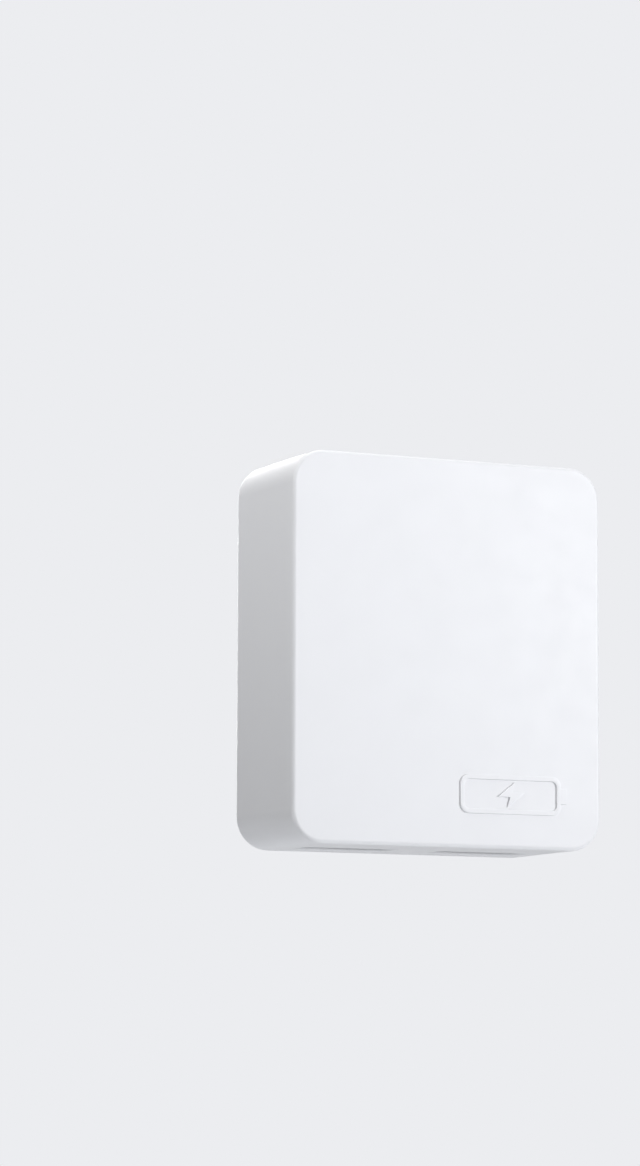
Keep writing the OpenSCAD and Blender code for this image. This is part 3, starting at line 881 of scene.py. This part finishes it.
def chip(name, legs, lead_w, along_x=True, notch=True, slot="black_plastic", look="chip_black"):
    """A moulded package: drafted sides that meet at a parting line, a pin-one dimple, gull-wing leads."""
    low, high = cad_box(name)
    x, _, z = middle(low, high)
    over, draft = 0.8, 0.16
    w = high.x - low.x - (0 if along_x else 2 * over)
    h = high.z - low.z - (2 * over if along_x else 0)
    y0, y1 = BOARD_FRONT - 0.1, low.y
    mid = (y0 + y1) / 2

    def ring(inset, y):
        return on_y(round_rect(w - 2 * inset, h - 2 * inset, 0.08, 2), y, x, z)

    body = loft(name, [ring(draft, y0), ring(0, mid + 0.04), ring(0, mid - 0.04),
                       ring(draft, y1 + 0.05), ring(draft + 0.05, y1)])
    if notch:
        spot = (x - w / 2 + 0.8, 0, z - h / 2 + 0.8)
        cut_or_join(body, [rod("dimple", "y", spot, y1 - 0.5, y1 + 0.07, 0.32, 24)])
    finish_piece(body, f"{name}_package", slot, [name], look)
    leads, pads = [], []
    span, half = (w, h / 2) if along_x else (h, w / 2)
    pad_w, pad_l, pad_at = lead_w + 0.2, 0.95, half + 0.55
    for i in range(legs):
        step = (i - (legs - 1) / 2) * span / legs
        for side in BOTH:
            if along_x:
                leads.append(gull_wing(x + step, z, side, True, half, lead_w, y0 - y1))
                pads.append(pad(x + step, z + side * pad_at, pad_w, pad_l))
            else:
                leads.append(gull_wing(x, z + step, side, False, half, lead_w, y0 - y1))
                pads.append(pad(x + side * pad_at, z + step, pad_l, pad_w))
    tinned(f"{name}_leads", leads)
    return pads


# Small chip parts on the front of the board, as (x, z, turned)
RESISTORS = [(-6.4, 1.6, 0), (-6.4, -0.4, 0), (-6.4, -2.4, 0), (0.2, 1.8, 1), (0.2, -2, 1), (8.2, 5, 1),
             (17.4, -2.4, 0), (-5.6, -8.2, 0), (5, -11.6, 0), (5, -13.6, 0), (-8.6, -24.4, 1),
             (8.6, -24.4, 1)]
CAPACITORS = [(-1.6, 4.4, 0), (3.2, 4.6, 0), (13.4, -3.4, 0), (-2.4, -8.2, 0), (5, -16.4, 0), (-5, -18.4, 0),
              (-12.6, -25, 1), (12.6, -25, 1)]


def chip_block(place, height, along, half_width, lift, soft):
    """A block on the board from and to along, shrunk by lift above and below."""
    x, z, turned = place
    across = (-half_width, half_width)
    u, v = (across, along) if turned else (along, across)
    return brick("block", (x + u[0], BOARD_FRONT - height + lift, z + v[0]),
                 (x + u[1], BOARD_FRONT - 0.02 - lift, z + v[1]), soft)


def chips(node, places, size, slot, look=None):
    """Ceramic blocks with tinned, rounded end caps, each on two pads."""
    length, height, width = size
    cap, half, slim = 0.32, length / 2, 0.03
    bodies, caps, pads = [], [], []
    for place in places:
        x, z, turned = place
        bodies.append(chip_block(place, height, (-half + 0.1, half - 0.1), width / 2 - slim, slim, slim))
        for along in ((-half, -half + cap), (half - cap, half)):
            caps.append(chip_block(place, height, along, width / 2, 0, 0.06))
        for end in BOTH:
            step = end * (half - 0.05)
            pads.append(pad(x, z + step, width + 0.1, 0.8) if turned else pad(x + step, z, 0.8, width + 0.1))
    finish_piece(merge("bodies", bodies), f"{node}_bodies", slot, [node], look)
    tinned(f"{node}_caps", caps)
    return pads


def fuse_resistor():
    """A coated axial resistor with swollen ends, its leads bent down to the board."""
    low, high = cad_box("fuse_resistor")
    z, r = (low.z + high.z) / 2, (high.z - low.z) / 2
    y, half = BOARD_BACK + r, 3.6
    profile = [(-half, 0.5), (-half + 0.12, 1.1), (-half + 0.5, r - 0.12), (-half + 0.9, r)]
    profile += [(-half + 1.5, r), (-half + 2.0, r - 0.2)]
    profile += [(-a, radius) for a, radius in reversed(profile)]
    body = lathe("body", profile, "x", (0, y, z), 56)
    finish_piece(body, "fuse_resistor_body", "resistor_body", ["fuse_resistor"], angle=40)
    bands = []
    for x in (-1.2, -0.4, 0.4):
        ring = [(x - 0.22, r - 0.19), (x + 0.22, r - 0.19), (x + 0.22, r - 0.3), (x - 0.22, r - 0.3)]
        bands.append(lathe("band", ring, "x", (0, y, z), 56, closed=True))
    finish_piece(merge("bands", bands), "fuse_resistor_bands", "black_plastic")
    bend = high.x - LEAD_R
    paths = [[(side * (half - 0.3), y, z), (side * bend, y, z), (side * bend, BOARD_BACK, z)]
             for side in BOTH]
    tinned("fuse_resistor_leads", [lead(path, 0.8) for path in paths])
    return [joint_dot(side * bend, z) for side in BOTH]


def filter_choke():
    """A ferrite drum with enamelled copper wire wound in its waist."""
    low, high = cad_box("filter_choke")
    x, _, z = middle(low, high)
    y0, y1 = BOARD_BACK, high.y
    profile = [(y0, 2.3), (y0 + 0.12, 2.55), (y0 + 0.9, 2.6), (y0 + 1.0, 1.4)]
    profile += [(y1 - 1.0, 1.4), (y1 - 0.9, 2.6), (y1 - 0.12, 2.55), (y1, 2.3)]
    drum = lathe("drum", profile, "y", (x, 0, z), 64)
    finish_piece(drum, "filter_choke_drum", "ferrite", ["filter_choke"])
    wire_r, coil_r, around = 0.24, 1.8, 24
    turns = int((y1 - y0 - 2.2) / (2 * wire_r))
    path = []
    for i in range(turns * around + 1):
        turn = 2 * math.pi * i / around
        y = y0 + 1.1 + wire_r + 2 * wire_r * i / around
        path.append((x + coil_r * math.cos(turn), y, z + coil_r * math.sin(turn)))
    winding = wire("winding", path, wire_r, 8)
    finish_piece(winding, "filter_choke_winding", "spring_bronze", look="copper", angle=60)


def y_capacitor():
    """A dipped ceramic disc, thin at the rim, its coating running down the leads."""
    low, high = cad_box("y_capacitor")
    x, _, z = middle(low, high)
    r = (high.z - low.z) / 2
    y, half, steps = high.y - r, (high.x - low.x) / 2, 16
    turns = [math.radians(180 * i / steps) for i in range(steps + 1)]
    disc = lathe("disc", [(-half * math.cos(t), r * math.sin(t) ** 0.55) for t in turns], "x", (x, y, z), 64)
    finish_piece(disc, "y_capacitor_disc", "disc_blue", ["y_capacitor"], angle=50)
    leads, skirts, joints = [], [], []
    for lead_z in (z - 2.2, z + 2.2):
        leads.append(rod("lead", "y", (x, 0, lead_z), BOARD_BACK, BOARD_BACK + 2.6, LEAD_R, 16))
        skirt = [(BOARD_BACK + 0.9, 0.34), (BOARD_BACK + 1.3, 0.5), (BOARD_BACK + 1.9, 0.75), (y, 0.9)]
        skirts.append(lathe("skirt", skirt, "y", (x, 0, lead_z), 24))
        joints.append(joint_dot(x, lead_z))
    finish_piece(merge("skirts", skirts), "y_capacitor_skirts", "disc_blue", angle=50)
    tinned("y_capacitor_leads", leads)
    return joints


def transformer_core(x, y, z):
    """Two E halves that meet, but for a hair, at z."""
    low, high = cad_box("transformer_core")
    leg, centre_leg, back, gap = 1.9, 3.4, 1.8, 0.04
    half_h = (high.z - low.z) / 2
    window = (high.y - low.y - 2 * leg - centre_leg) / 2
    halves = []
    for way in BOTH:
        z0, z1 = sorted((z + way * gap, z + way * half_h))
        half = brick("half", (low.x, low.y, z0), (high.x, high.y, z1), 0.22, 3)
        c0, c1 = sorted((z - way, z + way * (half_h - back)))
        cuts = []
        for side in BOTH:
            cy = y + side * (centre_leg + window) / 2
            cuts.append(brick("window", (low.x - 1, cy - window / 2, c0), (high.x + 1, cy + window / 2, c1)))
        halves.append(cut_or_join(half, cuts))
    finish_piece(merge("core", halves), "transformer_core_halves", "ferrite", ["transformer_core"])


def transformer_winding(x, y):
    """Seven bands of tape over the winding, each with soft edges."""
    low, high = cad_box("transformer_winding")
    width, depth = high.x - low.x, high.y - low.y
    layers, seam = 7, -0.07

    def loop(grow, z):
        return on_z(round_rect(width + 2 * grow, depth + 2 * grow, 2.0, 8), z, x, y)

    def bore(z):
        return on_z(round_rect(5.6, 4.2, 0.3, 8), z, x, y)

    rings = [bore(low.z), loop(-0.25, low.z)]
    for i in range(layers):
        a = low.z + (high.z - low.z) * i / layers
        b = low.z + (high.z - low.z) * (i + 1) / layers
        rings += [loop(seam, a + 0.04), loop(0, a + 0.2), loop(0, b - 0.2), loop(seam, b - 0.04)]
    rings += [loop(-0.25, high.z), bore(high.z)]
    winding = loft("winding", rings, closed=True)
    finish_piece(winding, "transformer_winding_taped", "tape_yellow", ["transformer_winding"], angle=40)


def transformer_bobbin(x, y, z, rail):
    """A square tube through the core, two flanges, and two pin rails joined to them by bridges."""
    back = BOARD_BACK
    parts = []
    for dz in (-3.85, 3.85):
        flange = [on_z(round_rect(9.6, 8.3, 0.8, 6), z + dz + e, x, y) for e in (-0.25, 0.25)]
        parts.append(soften(loft("flange", flange), 0.08))
    for dz in (-rail, rail):
        parts.append(brick("rail", (x - 4.8, back, z + dz - 0.75),
                           (x + 4.8, back + 1.7, z + dz + 0.75), 0.15))
    for dx in (-3.85, 3.85):
        for dz in (-5.1, 5.1):
            parts.append(brick("bridge", (x + dx - 0.95, back + 0.02, z + dz - 1.25),
                               (x + dx + 0.95, back + 1.65, z + dz + 1.25), 0.12))
    tube = brick("tube", (x - 2.75, y - 2.05, z - 3.95), (x + 2.75, y + 2.05, z + 3.95), 0.2)
    cut_or_join(tube, parts, "UNION")
    cut_or_join(tube, [brick("bore", (x - 2.45, y - 1.75, z - 5), (x + 2.45, y + 1.75, z + 5))])
    finish_piece(tube, "transformer_bobbin_moulding", "black_plastic", ["transformer_bobbin"])


def transformer():
    """Two ferrite E halves on a black bobbin, the winding under yellow tape, six pins."""
    x, y, z = middle(*cad_box("transformer_core"))
    rail = 6.95
    transformer_core(x, y, z)
    transformer_winding(x, y)
    transformer_bobbin(x, y, z, rail)
    pins, joints = [], []
    for pin_x in (x - 3.6, x, x + 3.6):
        for pin_z in (z - rail, z + rail):
            pins.append(rod("pin", "y", (pin_x, 0, pin_z), BOARD_FRONT - 1, BOARD_BACK, LEAD_R, 20, 0.1))
            joints.append(joint_dot(pin_x, pin_z, 0.7))
    tinned("transformer_pin_set", pins, ["transformer_pins"])
    return joints


def board(pads):
    """The laminate and the film stay as the CAD made them; all pads and solder joints are added here."""
    for node, look in (("main_board", "board_green"), ("insulation_sheet", "film_amber")):
        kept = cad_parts[node].data.materials
        kept.clear()
        kept.append(MATERIALS[look])
    tinned("board_solder", pads, angle=40)


def electronics():
    bulk_capacitors()
    output_capacitors()
    filter_choke()
    pads = fuse_resistor() + y_capacitor() + transformer()
    pads += chip("bridge_rectifier", 2, 0.7)
    pads += chip("controller_ic", 4, 0.45)
    pads += chip("snubber_diode", 1, 1.4, along_x=False, notch=False)
    pads += chip("optocoupler", 2, 0.5, slot="opto_white", look="opto_white")
    pads += chip("output_rectifier", 2, 1.6, notch=False)
    pads += chip("port_ic", 4, 0.45)
    pads += chips("chip_resistors", RESISTORS, (1.6, 0.5, 0.85), "black_plastic", "chip_black")
    pads += chips("chip_capacitors", CAPACITORS, (2.0, 1.2, 1.25), "chip_brown")
    board(pads)


# ---------- studio ----------

# Lights are placed and sized in metres
LAMP_TARGET = Vector((0, -0.009, -0.009))
COOL = (0.965, 0.975, 1.0)
# Display colour of the backdrop as linear light
BACKDROP = [((c / 255 + 0.055) / 1.055) ** 2.4 for c in (236, 237, 240)]


def camera():
    """Below and to the left of the charger, looking up at it."""
    data = bpy.data.cameras.new("camera")
    data.lens = 126.6
    data.sensor_width = 36
    data.clip_start, data.clip_end = 0.05, 20
    obj = add_object("camera", data)
    obj.location = (-0.2281, -0.4753, -0.0647)
    yaw, pitch, roll = (math.radians(a) for a in (24.67, 7.14, 0.17))
    turn = Matrix.Rotation(-yaw, 4, "Z") @ Matrix.Rotation(math.pi / 2 + pitch, 4, "X")
    obj.rotation_euler = (turn @ Matrix.Rotation(roll, 4, "Z")).to_euler()
    bpy.context.scene.camera = obj


def soft_light(name, place, size, watts, colour=(1, 1, 1)):
    """A round lamp, hidden from the camera, that points at the middle of the charger."""
    data = bpy.data.lights.new(name, "AREA")
    data.shape = "DISK"
    data.size = size
    data.energy = watts
    data.color = colour
    obj = add_object(name, data)
    obj.location = place
    obj.rotation_euler = (LAMP_TARGET - Vector(place)).to_track_quat("-Z", "Y").to_euler()
    obj.visible_camera = False


def sky(seen, strength):
    """Backdrop of the colour seen; as a light it is a soft glow from the right, of this strength."""
    world = bpy.data.worlds.new("studio")
    world.use_nodes = True
    tree = world.node_tree
    link = tree.links.new
    glow = tree.nodes["Background"]
    glow.inputs["Color"].default_value = (0.97, 0.98, 1.0, 1)
    place = add_node(tree, "ShaderNodeTexCoord")
    parts = add_node(tree, "ShaderNodeSeparateXYZ")
    ramp = add_node(tree, "ShaderNodeMapRange", interpolation_type="SMOOTHSTEP",
                    From_Min=-0.3, From_Max=0.8, To_Max=strength)
    link(place.outputs["Generated"], parts.inputs["Vector"])
    link(parts.outputs["X"], ramp.inputs["Value"])
    link(ramp.outputs["Result"], glow.inputs["Strength"])
    backdrop = add_node(tree, "ShaderNodeBackground", Color=(*seen, 1))
    path = add_node(tree, "ShaderNodeLightPath")
    mix = add_node(tree, "ShaderNodeMixShader")
    link(path.outputs["Is Camera Ray"], mix.inputs["Fac"])
    link(glow.outputs["Background"], mix.inputs[1])
    link(backdrop.outputs["Background"], mix.inputs[2])
    link(mix.outputs["Shader"], tree.nodes["World Output"].inputs["Surface"])
    bpy.context.scene.world = world


def studio():
    """Pale backdrop and floor, a cool key at the front right, fill from the left, above and behind."""
    bpy.context.scene.view_settings.view_transform = "Standard"
    sky(BACKDROP, 0.35)
    soft_light("key", (0.50, -0.60, 0.15), 0.36, 3.94, COOL)
    soft_light("left_far", (-0.40, -0.10, 0.30), 0.20, 0.34)
    soft_light("left_near", (-0.15, -0.12, 0.20), 0.10, 0.12)
    soft_light("left_side", (-0.10, -0.018, 0.06), 0.08, 0.032)
    soft_light("left_low", (-0.30, -0.30, -0.25), 0.15, 0.06)
    soft_light("back", (0.10, 0.65, 0.14), 0.30, 1.9)
    overhead = add_object("overhead", bpy.data.lights.new("overhead", "SUN"))
    overhead.data.energy = 1.35
    overhead.data.angle = math.radians(30)
    overhead.rotation_euler = (-Vector((0.05, 0.10, 1.0))).to_track_quat("-Z", "Y").to_euler()

    floor = loft("floor", [on_z(round_rect(6000, 6000, 2900, 24), z) for z in (-560, -550)])
    floor.data.transform(Matrix.Scale(MM, 4))
    floor.data.materials.append(floor_material())


def floor_material():
    return surface("floor", ((400, 2), (0.88, 0.89, 0.91), (0.90, 0.91, 0.93)), ((30, 3), 0.75, 0.85), None)


# ---------- build ----------

front_case()
rear_cover()
blades()
blade_carrier()
carrier_retainers()
retainer_screws()
springs()
usb_shells()
usb_inserts()
electronics()
studio()
camera()
